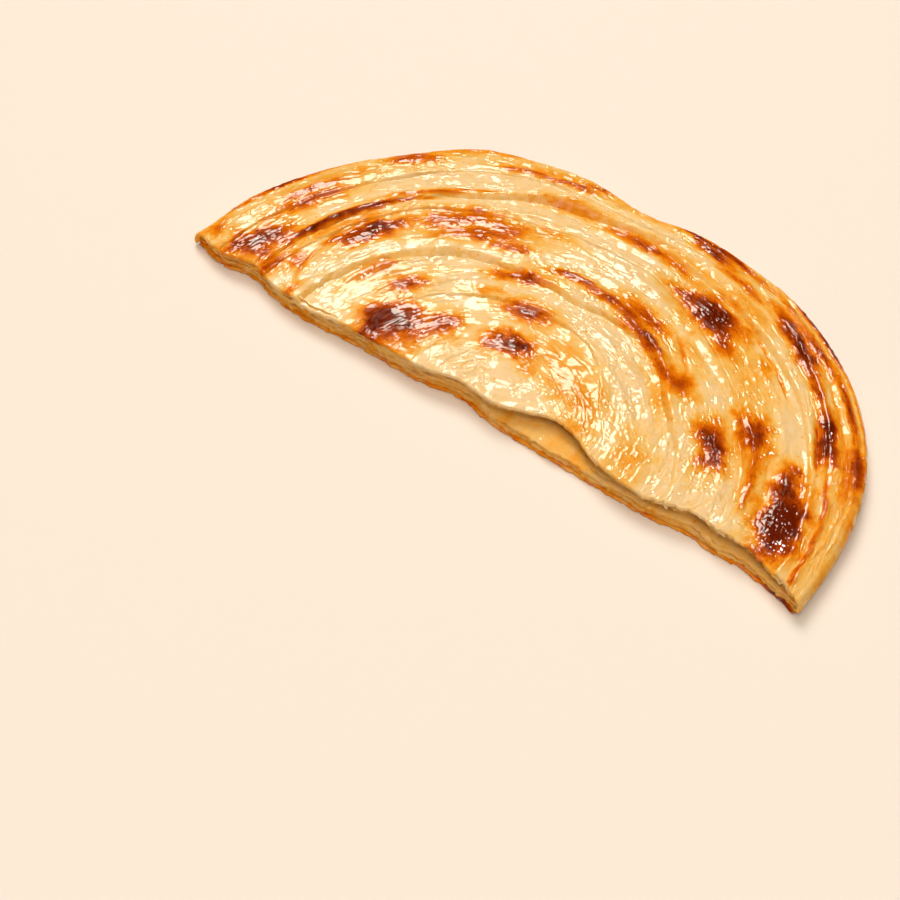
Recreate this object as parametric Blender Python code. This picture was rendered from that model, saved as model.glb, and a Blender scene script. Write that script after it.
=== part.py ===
"""Half of a lachha paratha, cut straight across: one solid piece of coiled, rolled and griddled dough.

The round is a rope of pleated dough, coiled flat and rolled thin. Each turn of the coil rises to a lip
on its inner side and slopes gently down to the next turn. The piece lies on its flat underside.
Lengths below are in millimetres, and the finished mesh is scaled to metres.
Angles are in degrees, from the right corner of the cut round the rim to the left corner.
A bump is its place, its height and its half-width.
"""

import math

import bmesh
import bpy

MILLIMETRE = 0.001

# The outline: a round of about 200 mm, with a dent in the rim and a bulge beside it.
RIM_RADIUS = 102.8
RIM_BUMPS = ((0, -5.4, 24), (78, -3.4, 12), (95, -7.3, 9.5), (125, 3.1, 9), (177, -2.2, 8))

# The coil: each turn's lip by its radius at the right and at the left corner, its bumps, and its step.
HEART = (33, 45, ((38, -6.4, 28),), 1.0)
SECOND_TURN = (54, 63, ((40, -6.8, 24), (95, -9.5, 27)), 1.6)
THIRD_TURN = (70, 75, ((50, -4.0, 25), (140, 3.5, 25)), 0.8)
FOURTH_TURN = (88, 79, ((92, 2.3, 7), (138, 3.0, 14)), 1.7)
OUTER_TURN = (91.5, 91.5, ((92, -3.4, 12), (122, 2.5, 14)), 0.7)
TURNS = (HEART, SECOND_TURN, THIRD_TURN, FOURTH_TURN, OUTER_TURN)
HEART_STOPS = (0.0, 0.12, 0.28, 0.44, 0.58, 0.72, 0.86, 1.0)
TURN_STOPS = (0.0, 0.12, 0.4, 0.7, 1.0)
LIP_ROUNDING = 0.3
STEP_RUN = 0.7

# The thickness at the heart and the rim, its loss at the left corner, and how the rim rounds over.
HEART_THICKNESS = 8.2
RIM_THICKNESS = 7.4
LEFT_TAPER = 1.5
RIM_ROUND_RUN = 2.2
RIM_ROUND_DROP = 1.5
SWELL = 0.35
SWELL_WAVES = 7

# The wall: dough layers stacked between the base and the skin. Each is its inset at the rim.
WALL_INSETS = (1.6, 0.2, 0.7, 0.0, 0.3)
WALL_REACH = 9.0

# The cut: how far its edge stands back along X, and the pocket where the upper layers pull away.
CUT_BUMPS = (
    (-99, 2.2, 5),
    (-80, 2.0, 6),
    (-60, -1.6, 12),
    (-10, 2.6, 8),
    (62, 2.0, 7),
    (77, 1.6, 6),
    (97, -2.6, 6),
)
POCKET = (18, 7.5, 13)
POCKET_FLOOR = 0.6
CUT_REACH = 32.0
RAGGED_DEPTH = 0.5
RAGGED_LENGTH = 11.0

ANGLE_STEPS = 80
DOUGH_COLOUR = (0.80, 0.50, 0.20, 1.0)


def bump_at(place, bump):
    """One smooth bump's height at a place."""
    centre, height, half_width = bump
    return height * math.exp(-(((place - centre) / half_width) ** 2))


def bumps_at(place, bumps):
    """The height of several bumps together."""
    return sum(bump_at(place, bump) for bump in bumps)


def rim_radius(angle):
    """The outline's radius at an angle."""
    return RIM_RADIUS + bumps_at(angle, RIM_BUMPS)


def lip_radius(turn, angle):
    """Where a turn of the coil begins, at an angle: its radius drifts from one corner to the other."""
    right, left, bumps, _ = turn
    return right + (left - right) * angle / 180 + bumps_at(angle, bumps)


def body_height(radius, angle):
    """The dough's thickness with no turns on it: thinner to the rim and the left corner, and waved."""
    share = radius / RIM_RADIUS
    wave = math.sin(math.radians(angle * SWELL_WAVES) + share * 4)
    leftness = share * (1 - math.cos(math.radians(angle))) / 2
    thinning = (HEART_THICKNESS - RIM_THICKNESS) * share**2 + LEFT_TAPER * leftness
    return HEART_THICKNESS - thinning + SWELL * share * wave


def skin_section(angle):
    """The skin's section at an angle, from the heart to the rim, as (radius, height) stations."""
    rim = rim_radius(angle)
    starts = [0] + [lip_radius(turn, angle) for turn in TURNS]
    ends = [start - STEP_RUN for start in starts[1:]] + [rim - RIM_ROUND_RUN]
    steps = [0] + [turn[3] for turn in TURNS] + [0]
    section = []
    for start, end, rise, fall in zip(starts, ends, steps, steps[1:]):
        for stop in TURN_STOPS if start else HEART_STOPS:
            radius = start + (end - start) * stop
            height = body_height(radius, angle) + rise / 2 - (rise + fall) / 2 * stop
            if stop == 0 and rise:
                height -= LIP_ROUNDING
            section.append((radius, height))
    section.append((rim, body_height(rim, angle) - RIM_ROUND_DROP))
    return section


def add_skin(mesh):
    """The skin: a flat grid bent round into a half disc, each column of it set on the section there."""
    rings = len(skin_section(0)) - 1
    bmesh.ops.create_grid(mesh, x_segments=ANGLE_STEPS, y_segments=rings, size=1)
    sections = [skin_section(180 * step / ANGLE_STEPS) for step in range(ANGLE_STEPS + 1)]
    for vertex in mesh.verts:
        column = round((vertex.co.x + 1) / 2 * ANGLE_STEPS)
        ring = round((vertex.co.y + 1) / 2 * rings)
        radius, height = sections[column][ring]
        angle = math.pi * column / ANGLE_STEPS
        vertex.co = (radius * math.cos(angle), radius * math.sin(angle), height)


def add_layers(mesh, level):
    """The dough under the skin: extruded down to the base, with its wall cut into layers."""
    for vertex in mesh.verts:
        vertex[level] = 1
    made = bmesh.ops.extrude_face_region(mesh, geom=mesh.faces[:], use_keep_orig=True)["geom"]
    base = [item for item in made if isinstance(item, bmesh.types.BMVert)]
    for vertex in base:
        vertex.co.z = 0
        vertex[level] = 0
    uprights = [edge for edge in mesh.edges if edge.verts[0][level] != edge.verts[1][level]]
    bmesh.ops.subdivide_edges(mesh, edges=uprights, cuts=len(WALL_INSETS) - 2, use_grid_fill=True)
    bmesh.ops.remove_doubles(mesh, verts=mesh.verts[:], dist=0.01)


def rim_inset(level):
    """How far the rim's wall stands back at a level, from 0 at the base to 1 at the skin."""
    return WALL_INSETS[round(level * (len(WALL_INSETS) - 1))]


def cut_setback(x, level):
    """How far the cut stands back from the round's middle line, at a level from 0 to 1."""
    ragged = RAGGED_DEPTH * math.sin(x / RAGGED_LENGTH * 2 * math.pi + level * 13)
    setback = bumps_at(x, CUT_BUMPS) + ragged * (1 - level)
    if level > POCKET_FLOOR:
        setback += bump_at(x, POCKET)
    return setback


def shape_walls(mesh, level):
    """The rim's layers are set in and out, and the cut's are made ragged, fading into the piece."""
    for vertex in mesh.verts:
        x, y, _ = vertex.co
        radius = math.hypot(x, y)
        from_rim = rim_radius(math.degrees(math.atan2(y, x))) - radius
        inset = rim_inset(vertex[level]) * max(0, 1 - from_rim / WALL_REACH)
        if radius > 0:
            vertex.co.x -= inset * x / radius
            vertex.co.y -= inset * y / radius
        vertex.co.y += cut_setback(x, vertex[level]) * max(0, 1 - y / CUT_REACH) ** 2


def flatten_base(mesh, level):
    """The base's faces are made one flat face, with only its outline's points."""
    base = [face for face in mesh.faces if all(vertex[level] == 0 for vertex in face.verts)]
    bmesh.ops.dissolve_faces(mesh, faces=base, use_verts=True)


def centre_on_base(mesh):
    """The origin goes to the middle of the piece's box, at its base, and the lengths become metres."""
    xs = [vertex.co.x for vertex in mesh.verts]
    ys = [vertex.co.y for vertex in mesh.verts]
    shift = (-(min(xs) + max(xs)) / 2, -(min(ys) + max(ys)) / 2, 0)
    bmesh.ops.translate(mesh, verts=mesh.verts[:], vec=shift)
    bmesh.ops.scale(mesh, verts=mesh.verts[:], vec=(MILLIMETRE,) * 3)


def dough_material():
    """Griddled dough: golden, with an oily shine."""
    material = bpy.data.materials.new("griddled_dough")
    material.use_nodes = True
    surface = material.node_tree.nodes["Principled BSDF"]
    surface.inputs["Base Color"].default_value = DOUGH_COLOUR
    surface.inputs["Roughness"].default_value = 0.35
    surface.inputs["Metallic"].default_value = 0.0
    return material


def paratha_half():
    """The whole piece, as one closed mesh object."""
    mesh = bmesh.new()
    level = mesh.verts.layers.float.new("level")
    add_skin(mesh)
    add_layers(mesh, level)
    shape_walls(mesh, level)
    flatten_base(mesh, level)
    centre_on_base(mesh)
    bmesh.ops.triangulate(mesh, faces=mesh.faces[:])
    bmesh.ops.recalc_face_normals(mesh, faces=mesh.faces[:])
    data = bpy.data.meshes.new("paratha_half")
    mesh.to_mesh(data)
    mesh.free()
    data.shade_smooth()
    data.set_sharp_from_angle(angle=math.radians(40))
    data.materials.append(dough_material())
    return bpy.data.objects.new("paratha_half", data)


for leftover in list(bpy.data.objects):
    bpy.data.objects.remove(leftover)

parts = bpy.data.collections.new("paratha")
bpy.context.scene.collection.children.link(parts)
parts.objects.link(paratha_half())
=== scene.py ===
"""Half of a lachha paratha: pleated dough coiled flat, rolled, griddled in oil and cut straight across."""

import math

import bpy
import numpy as np
from mathutils import Matrix, Vector


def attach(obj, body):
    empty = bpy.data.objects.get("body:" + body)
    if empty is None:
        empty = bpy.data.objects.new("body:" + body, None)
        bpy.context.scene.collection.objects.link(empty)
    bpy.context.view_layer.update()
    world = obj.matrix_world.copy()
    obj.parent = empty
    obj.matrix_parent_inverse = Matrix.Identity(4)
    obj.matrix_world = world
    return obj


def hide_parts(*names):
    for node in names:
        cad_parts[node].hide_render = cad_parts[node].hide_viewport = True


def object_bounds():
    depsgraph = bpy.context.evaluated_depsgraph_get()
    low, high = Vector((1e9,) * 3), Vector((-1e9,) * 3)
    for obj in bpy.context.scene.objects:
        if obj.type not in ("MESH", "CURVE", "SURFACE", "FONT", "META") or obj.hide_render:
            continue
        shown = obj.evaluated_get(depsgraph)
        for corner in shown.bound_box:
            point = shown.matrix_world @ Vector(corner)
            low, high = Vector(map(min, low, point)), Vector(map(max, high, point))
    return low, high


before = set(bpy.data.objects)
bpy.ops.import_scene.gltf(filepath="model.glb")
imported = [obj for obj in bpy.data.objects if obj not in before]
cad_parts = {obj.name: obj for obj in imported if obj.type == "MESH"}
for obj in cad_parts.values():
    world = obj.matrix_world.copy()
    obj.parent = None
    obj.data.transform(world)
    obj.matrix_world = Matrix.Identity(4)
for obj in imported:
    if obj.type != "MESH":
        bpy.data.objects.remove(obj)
cad_low, cad_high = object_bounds()

# ---- The coiled skin -------------------------------------------------------------------------
# The top of the bread is one rope of pleated dough, coiled from the heart out and rolled flat.
# Each turn is a sheet of its own: its inner lip lies over the tail of the turn inside it, and the
# last one rolls over the rim. Lengths are in millimetres and angles in degrees, from the right
# corner of the cut round to the left one. A bump is its place, its height and its half-width.

MM = 0.001
RIM_RADIUS = 102.8
RIM_BUMPS = ((0, -5.4, 24), (78, -3.4, 12), (95, -7.3, 9.5), (125, 3.1, 9), (177, -2.2, 8))
HEART_THICKNESS = 8.2
RIM_THICKNESS = 7.4
LEFT_TAPER = 1.5
SWELL = 0.35
SWELL_WAVES = 7
SWELL_TURN = 230
CUT_REACH = 32.0
CUT_BUMPS = (
    (-99, 2.2, 5),
    (-80, 2.0, 6),
    (-60, -1.6, 12),
    (-10, 2.6, 8),
    (62, 2.0, 7),
    (77, 1.6, 6),
    (97, -2.6, 6),
)
POCKET = (18, 7.5, 13)
LEDGE = (69, 2.4, 19)

# Each turn: its lip's radius at the right and at the left corner, the lip's bumps, its step over
# the turn inside it, and that step's bumps.
TURNS = {
    "second_turn": (33, 45, ((38, -6.4, 28),), 0.35, ((105, 0.5, 30),)),
    "third_turn": (54, 63, ((40, -6.8, 24), (95, -9.5, 27)), 1.3, ((130, 0.5, 25), (10, -0.6, 20))),
    "fourth_turn": (70, 75, ((50, -4.0, 25), (140, 3.5, 25)), 0.5, ((20, 0.5, 20), (95, -0.2, 30))),
    "fifth_turn": (
        88, 79, ((92, 2.3, 7), (110, 5.0, 10), (138, 3.0, 14)), 1.2, ((108, 1.4, 8), (150, 0.4, 15)),
    ),
    "outer_turn": (91.5, 91.5, ((92, -3.4, 12), (122, 2.5, 14)), 0.6, ((30, 0.3, 30),)),
}


class Wire:
    """A socket that a node gives out. Arithmetic on it adds the nodes that work it out."""

    def __init__(self, tree, socket):
        self.tree = tree
        self.socket = socket

    @classmethod
    def make(cls, tree, kind, settings=None, sockets=None, output=0):
        """Any node: its type, its settings, and the values or links of its sockets."""
        node = tree.nodes.new(kind)
        for name, value in (settings or {}).items():
            if name == "stops":
                cls.set_stops(node.color_ramp, value)
            elif name == "items":
                cls.set_items(node.index_switch_items, value)
            else:
                setattr(node, name, value)
        for key, value in (sockets or {}).items():
            if isinstance(value, Wire):
                tree.links.new(value.socket, node.inputs[key])
            else:
                node.inputs[key].default_value = value
        return cls(tree, node.outputs[output])

    @staticmethod
    def set_stops(ramp, stops):
        while len(ramp.elements) < len(stops):
            ramp.elements.new(1)
        for element, (place, colour) in zip(ramp.elements, stops):
            element.position = place
            element.color = colour

    @staticmethod
    def set_items(items, count):
        while len(items) < count:
            items.new()

    def node(self, kind, settings=None, sockets=None, output=0):
        return self.make(self.tree, kind, settings, sockets, output)

    def math(self, operation, *operands):
        return self.node("ShaderNodeMath", {"operation": operation}, dict(enumerate(operands)))

    def __add__(self, other):
        return self.math("ADD", self, other)

    def __radd__(self, other):
        return self.math("ADD", other, self)

    def __sub__(self, other):
        return self.math("SUBTRACT", self, other)

    def __rsub__(self, other):
        return self.math("SUBTRACT", other, self)

    def __mul__(self, other):
        return self.math("MULTIPLY", self, other)

    def __rmul__(self, other):
        return self.math("MULTIPLY", other, self)

    def __truediv__(self, other):
        return self.math("DIVIDE", self, other)

    def __rtruediv__(self, other):
        return self.math("DIVIDE", other, self)

    def __pow__(self, other):
        return self.math("POWER", self, other)

    def vector(self, operation, *operands):
        return self.node("ShaderNodeVectorMath", {"operation": operation}, dict(enumerate(operands)))

    def part(self, low, high):
        """How far the value is from low to high, kept between 0 and 1."""
        return self.node("ShaderNodeMapRange", None, {"Value": self, "From Min": low, "From Max": high})


def worked(value, operation, function):
    """A function of one value, as a node for a wire and as numpy's own for numbers."""
    return value.math(operation, value) if isinstance(value, Wire) else function(value)


def bump_at(place, bump):
    """A bell-shaped bump's height at a place."""
    centre, height, half_width = bump
    away = (place - centre) / half_width
    return worked(0 - away * away, "EXPONENT", np.exp) * height


def bumps_at(place, bumps):
    return sum(bump_at(place, bump) for bump in bumps)


def sine(degrees):
    return worked(degrees * (math.pi / 180), "SINE", np.sin)


def cosine(degrees):
    return worked(degrees * (math.pi / 180), "COSINE", np.cos)


def rim_radius(angle):
    return RIM_RADIUS + bumps_at(angle, RIM_BUMPS)


def lip_radius(turn, angle):
    right, left, bumps, _, _ = turn
    return right + angle * ((left - right) / 180) + bumps_at(angle, bumps)


def step_height(turn, angle):
    return turn[3] + bumps_at(angle, turn[4])


def body_height(radius, angle):
    """The bread's thickness with no turns on it: thinner to the rim and the left corner, and waved."""
    share = radius / RIM_RADIUS
    wave = sine(angle * SWELL_WAVES + share * SWELL_TURN)
    thinning = share * share * (HEART_THICKNESS - RIM_THICKNESS)
    thinning = thinning + share * (1 - cosine(angle)) * (LEFT_TAPER / 2)
    return HEART_THICKNESS - thinning + share * wave * SWELL


# The middle of the round, in the frame, from the widest reach of the rim.
all_round = np.linspace(0, 180, 1801)
POLE_X = cad_high.x / MM - float(np.max(rim_radius(all_round) * cosine(all_round)))
POLE_Y = cad_high.y / MM - float(np.max(rim_radius(all_round) * sine(all_round)))


def grow_tree(name, inputs):
    """A geometry tree with named inputs, given with their types, and those inputs as wires."""
    tree = bpy.data.node_groups.new(name, "GeometryNodeTree")
    for label, kind in inputs.items():
        tree.interface.new_socket(name=label, in_out="INPUT", socket_type=kind)
    tree.interface.new_socket(name="Geometry", in_out="OUTPUT", socket_type="NodeSocketGeometry")
    entry = tree.nodes.new("NodeGroupInput")
    return tree, {label: Wire(tree, entry.outputs[label]) for label in inputs}


def end_tree(geometry, material):
    """Real geometry in its material at the tree's end."""
    realized = geometry.node("GeometryNodeRealizeInstances", None, {"Geometry": geometry})
    painted = realized.node("GeometryNodeSetMaterial", None, {"Geometry": realized, "Material": material})
    leave = geometry.tree.nodes.new("NodeGroupOutput")
    geometry.tree.links.new(painted.socket, leave.inputs[0])


def grown_mesh(name, tree, values):
    """The plain mesh that a tree makes from its inputs' values."""
    holder = bpy.data.objects.new(name, bpy.data.meshes.new(name))
    bpy.context.scene.collection.objects.link(holder)
    modifier = holder.modifiers.new("form", "NODES")
    modifier.node_group = tree
    for item in tree.interface.items_tree:
        if item.name in values:
            modifier[item.identifier] = values[item.name]
    depsgraph = bpy.context.evaluated_depsgraph_get()
    mesh = bpy.data.meshes.new_from_object(holder.evaluated_get(depsgraph))
    bpy.data.objects.remove(holder)
    return mesh


def noise(tree, vector, scale, detail=2.0, distortion=0.0, output=0):
    """Smooth noise, about 0.5, over a vector: a number, or three from the output Color."""
    sockets = {"Vector": vector, "Scale": scale, "Detail": detail, "Distortion": distortion}
    return Wire.make(tree, "ShaderNodeTexNoise", None, sockets, output)


def point(x, y, z):
    """Three wires or numbers as one vector. At least one of them is a wire."""
    tree = next(value.tree for value in (x, y, z) if isinstance(value, Wire))
    return Wire.make(tree, "ShaderNodeCombineXYZ", None, {"X": x, "Y": y, "Z": z})


def cut_setback(x):
    """How far the skin's cut edge stands back from the round's middle line."""
    return bumps_at(x, CUT_BUMPS) + bump_at(x, POCKET) + bump_at(x, LEDGE)


# How a turn is laid: it rolls over the rim, or drops under the next turn's lip. A hair keeps a
# range open where its two ends would meet.
RIM_ROUND_RUN = 2.2
RIM_ROUND_DROP = 3.0
ROLL_SHARE = 0.3
ROLL_ANGLE = 115
SHOULDER_RUN = 10.0
SHOULDER_DROP = 1.0
SKIN_SINK = 0.5
FACE_RUN = 0.7
FACE_SLOPE = 1.9
FOOT_SINK = 0.35
FACE_STEPS = (0.2, 1.2)
TAIL_DROP = 0.5
LIP_WAVE = 9.0
LIP_WANDER = 2.4
STEP_WAVE = 22.0
TURN_MIDDLES = (22, 46, 62, 76, 86, 96)
HAIR = 0.0001

# How far apart in the noise the turns, or two unlike patterns, are read, so that no two are alike.
LIPS_APART = 7.3
STEPS_APART = 3.1
STEPS_ROW = 5.0
ROPES_APART = 17.0
SCALLOP_ROW = 9.0

# Its relief: broad lumps, and creases, pleats and wrinkles that follow the rope. Ripples and
# wrinkles come in patches, and so do the puckers and bubbles, which show most where it is browned.
# A patch's edge is the noise's value where the patch starts and where it is full.
LUMP_SIZE = 13.0
DRIFT_SIZE = 6.0
CREASE_SCALE = (0.085, 0.29, 1.0)
CREASE_WIDTH = 0.05
CREASE_PATCH = 17.0
CREASE_PATCH_EDGE = (0.38, 0.62)
PLEAT_SCALE = (0.024, 0.27, 1.0)
RIPPLE_SIZE = 3.0
WRINKLE_SCALE = (0.14, 0.42, 1.0)
WRINKLE_WIDTH = 0.08
WRINKLE_PATCH = 14.0
WRINKLE_PATCH_EDGE = (0.42, 0.58)
SMOOTH_SHARE = 0.2
PUCKER_SIZE = 2.6
PUCKER_WIDTH = 0.11
BUBBLE_GAP = 1.9
BUBBLE_RADIUS = 0.65
BUBBLE_PATCH = 9.0
BUBBLE_PATCH_EDGE = (0.44, 0.6)

# The relief fades out at the heart's middle, where all its columns meet in one vertex.
MIDDLE_FADE = 6.0
MERGE_DISTANCE = 0.01

# Its cut edge: nibbled, more so on the right, and turned in and down.
NIBBLE_SIZE = 4.5
NIBBLE_DEPTH = 1.8
NIBBLE_REACH = 3.0
SCALLOP_SIZE = 1.6
SCALLOP_DEPTH = 0.9
EVEN_LEFT_SHARE = 0.6
RAGGED_RIGHT_MORE = 0.9
RAGGED_FROM = 30
RAGGED_BY = 50
CUT_BULGE = 0.7
CUT_TUCK = 0.9


def skin_tree(material):
    """One turn of the skin: a grid laid from its lip, over its back, to its tail under the next lip."""
    tree, given = grow_tree("coiled_skin", {
        "Columns": "NodeSocketInt",
        "Rows": "NodeSocketInt",
        "Turn": "NodeSocketInt",
        "Lip share": "NodeSocketFloat",
        "Tail": "NodeSocketFloat",
        "Cut edge share": "NodeSocketFloat",
        "Sheet thickness": "NodeSocketFloat",
        "Lump height": "NodeSocketFloat",
        "Crease depth": "NodeSocketFloat",
        "Pleat height": "NodeSocketFloat",
        "Ripple height": "NodeSocketFloat",
        "Wrinkle depth": "NodeSocketFloat",
    })
    grid = Wire.make(tree, "GeometryNodeMeshGrid", None, {
        "Size X": 1.0, "Size Y": 1.0, "Vertices X": given["Columns"], "Vertices Y": given["Rows"],
    })
    place = Wire.make(tree, "GeometryNodeInputPosition")
    across = place.node("ShaderNodeSeparateXYZ", None, {0: place}, "X") + 0.5
    along = place.node("ShaderNodeSeparateXYZ", None, {0: place}, "Y") + 0.5

    def of_turn(values):
        """The value that belongs to this turn, from one for each."""
        switch = {"data_type": "FLOAT", "items": len(values)}
        sockets = {"Index": given["Turn"], **{str(index): value for index, value in enumerate(values)}}
        return given["Turn"].node("GeometryNodeIndexSwitch", switch, sockets)

    edge = given["Cut edge share"]
    angle = across.part(edge, 1 - edge) * 180
    turned_in = across.part(edge, 0.0) + across.part(1 - edge, 1.0)
    lips, steps = [], []
    for index, turn in enumerate(TURNS.values()):
        wander = noise(tree, point(angle / LIP_WAVE, index * LIPS_APART, 0.0), 1.0, 2.0) - 0.5
        lips.append(lip_radius(turn, angle) + wander * LIP_WANDER)
        uneven = noise(tree, point(angle / STEP_WAVE, index * STEPS_APART, STEPS_ROW), 1.0) + 0.5
        steps.append(step_height(turn, angle) * uneven)
    rim = rim_radius(angle)
    lip = of_turn([0.0] + lips)
    outer = of_turn(lips + [rim - RIM_ROUND_RUN])
    rise = of_turn([0.0] + steps)
    fall = of_turn(steps + [0.0])
    has_lip = given["Turn"].part(0, 1)
    at_rim = given["Turn"].part(len(TURNS) - 1, len(TURNS))

    lip_share = given["Lip share"] * has_lip
    under = (1 - along / (lip_share + HAIR)).part(0, 1) * has_lip
    back = along.part(lip_share, 1.0)
    roll_start = 1 - at_rim * ROLL_SHARE
    roll = back.part(roll_start, 1 + HAIR) * at_rim * ROLL_ANGLE
    laid = back.part(0.0, roll_start)
    radius = lip + laid * (outer + given["Tail"] * (1 - at_rim) - lip)
    past = (radius - outer).math("MAXIMUM", radius - outer, 0.0)
    slope = radius.part(lip, outer)
    height = body_height(radius, angle) + rise * (1 - slope) * 0.5 - fall * slope * 0.5 - SKIN_SINK
    shoulder = radius.part(rim - SHOULDER_RUN, rim)
    height = height - past * TAIL_DROP - shoulder * shoulder * SHOULDER_DROP
    radius = radius - under * (rise * FACE_SLOPE + FACE_RUN)
    height = height - (1 - cosine(under * 180)) * 0.5 * (rise + FOOT_SINK)

    flat = point(radius * cosine(angle), radius * sine(angle), 0.0)
    drift = noise(tree, flat, 1 / DRIFT_SIZE, 3.0, output="Color")
    lumps = noise(tree, flat, 1 / LUMP_SIZE) - 0.5
    middle = of_turn(TURN_MIDDLES)
    rope = point(angle * middle * (math.pi / 180), radius, given["Turn"] * ROPES_APART)
    crease_line = noise(tree, rope.vector("MULTIPLY", rope, CREASE_SCALE), 1.0, 1.0, 0.9) - 0.5
    crease = worked(0 - crease_line * crease_line / CREASE_WIDTH**2, "EXPONENT", np.exp)
    crease_patch = noise(tree, flat, 1 / CREASE_PATCH, 1.0).part(*CREASE_PATCH_EDGE)
    pleats = noise(tree, rope.vector("MULTIPLY", rope, PLEAT_SCALE), 1.0, 2.0, 0.4) - 0.5
    off_middle = radius.part(0, MIDDLE_FADE)
    height = height + lumps * given["Lump height"] * (1 - under) + pleats * off_middle * given["Pleat height"]
    height = height - crease * crease_patch * off_middle * given["Crease depth"]
    ripple = noise(tree, flat, 1 / RIPPLE_SIZE, 2.0, 0.6) - 0.5
    wrinkle_line = noise(tree, rope.vector("MULTIPLY", rope, WRINKLE_SCALE), 1.0, 1.0, 1.0) - 0.5
    wrinkle = worked(0 - wrinkle_line * wrinkle_line / WRINKLE_WIDTH**2, "EXPONENT", np.exp)
    wrinkled = noise(tree, flat, 1 / WRINKLE_PATCH, 1.0).part(*WRINKLE_PATCH_EDGE)
    rippled = wrinkled * (1 - SMOOTH_SHARE) + SMOOTH_SHARE
    height = height + ripple * rippled * given["Ripple height"]
    height = height - wrinkle * wrinkled * off_middle * given["Wrinkle depth"]
    pucker_line = noise(tree, flat, 1 / PUCKER_SIZE, 1.0, 1.4) - 0.5
    pucker = worked(0 - pucker_line * pucker_line / PUCKER_WIDTH**2, "EXPONENT", np.exp)
    cells = flat.node("ShaderNodeTexVoronoi", None, {"Vector": flat, "Scale": 1 / BUBBLE_GAP})
    dome = (1 - (cells * BUBBLE_GAP / BUBBLE_RADIUS) ** 2.0).part(0.0, 1.0)
    bubble = dome * noise(tree, flat, 1 / BUBBLE_PATCH, 1.0).part(*BUBBLE_PATCH_EDGE)

    tucked = (1 - cosine(turned_in * 90)) * given["Sheet thickness"]
    height = height - (1 - cosine(roll)) * RIM_ROUND_DROP - cosine(roll) * tucked
    radius = radius + sine(roll) * (RIM_ROUND_RUN - tucked)
    x = radius * cosine(angle)
    y = radius * sine(angle)
    fade = 1 - y.part(0, CUT_REACH)
    ragged_right = x.part(RAGGED_FROM, RAGGED_BY) * RAGGED_RIGHT_MORE + EVEN_LEFT_SHARE
    nibbled = (noise(tree, point(x, 0.0, 0.0), 1 / NIBBLE_SIZE, 3.0) - 0.5) * NIBBLE_DEPTH
    nibbled = nibbled + (noise(tree, point(x, SCALLOP_ROW, 0.0), 1 / SCALLOP_SIZE, 1.0) - 0.5) * SCALLOP_DEPTH
    y = y + cut_setback(x) * fade * fade + nibbled * ragged_right * (1 - y.part(0, NIBBLE_REACH))
    y = y - sine(turned_in * 90) * CUT_BULGE + turned_in ** 4.0 * CUT_TUCK

    laid_out = grid
    stored = {
        "FLOAT": {
            "angle": angle,
            "radius": radius,
            # The crease also darkens the dough's colour here, as painted shade.
            "crease": crease * crease_patch,
            # How far the point is on a lip's face, for the gold painted shade on that face.
            "face": sine(under * 180) * rise.part(*FACE_STEPS),
            "rolled": roll / ROLL_ANGLE,
            "pucker": pucker * rippled,
            "bubble": bubble,
        },
        "FLOAT_VECTOR": {"drift": drift, "rope": rope},
    }
    for kind, fields in stored.items():
        for label, value in fields.items():
            laid_out = grid.node("GeometryNodeStoreNamedAttribute", {"data_type": kind, "domain": "POINT"},
                                 {"Geometry": laid_out, "Name": label, "Value": value})
    moved = grid.node("GeometryNodeSetPosition", None, {
        "Geometry": laid_out,
        "Position": point((x + POLE_X) * MM, (y + POLE_Y) * MM, height * MM),
    })
    joined = grid.node("GeometryNodeMergeByDistance", None, {
        "Geometry": moved, "Distance": MERGE_DISTANCE * MM,
    })
    end_tree(joined, material)
    return tree


# The dough's colours, from pale to charred.
CREAM = (0.81, 0.565, 0.285, 1)
STRAW = (0.81, 0.475, 0.135, 1)
GOLD = (0.80, 0.365, 0.048, 1)
HONEY = (0.78, 0.255, 0.007, 1)
AMBER = (0.65, 0.13, 0.0015, 1)
CHESTNUT = (0.36, 0.045, 0.0008, 1)
CHAR = (0.12, 0.009, 0.0003, 1)

# The dough's patterns, by their scale: those that follow the rope, a unit to the millimetre, and
# the others, a unit to the metre. Then how smooth the dough is under its oil, and the oil's cover.
STREAK_SCALE = (0.16, 0.34, 1.0)
FIBRE_SCALE = (0.5, 1.7, 1.0)
PATCH_SCALE = 150.0
OIL_SCALE = 170.0
RELIEF_SCALE = 300.0
MOTTLE_SCALE = 420.0
FRECKLE_SCALE = 900.0
FLECK_SCALE = 1600.0
PALE_BELOW = 0.05
CHARRED_FROM = 0.5
RELIEF_HEIGHT = 0.0005
LUMP_RELIEF = 0.4
FIBRE_RELIEF = 0.1
DOUGH_ROUGHNESS = 0.42
CHARRED_SMOOTHER = 0.1
OIL_ROUGHNESS = 0.03
OIL_IOR = 1.45
OIL_POOLED = 0.12
OIL_EDGE = (0.49, 0.54)
OIL_THINNEST = 0.06

# The light that glows through the dough: its share, how far red, green and blue reach beside each
# other, and how far red does in metres.
GLOW_SHARE = 0.3
GLOW_COLOURS = (1.0, 0.5, 0.2)
GLOW_REACH = 0.001

# How much each pattern darkens the dough: everywhere, at the edge of a browned spot, or in one.
BETWEEN_PATCHES = 0.68
IN_PATCHES = 0.6
EDGE_BREADTH = 1.3
STREAKS = 0.14
STREAKS_AT_EDGE = 0.4
MOTTLE = 0.06
MOTTLE_AT_EDGE = 0.5
# Painted shade: how much the dough darkens in creases and in the crumb's crevices.
CREASE_SHADE_TONE = 0.06
FLECKS_IN_SPOT = 0.16
FIBRES_IN_SPOT = 0.36
FRECKLES = 0.2
FRECKLE_EDGE = (0.69, 0.75)


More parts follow.
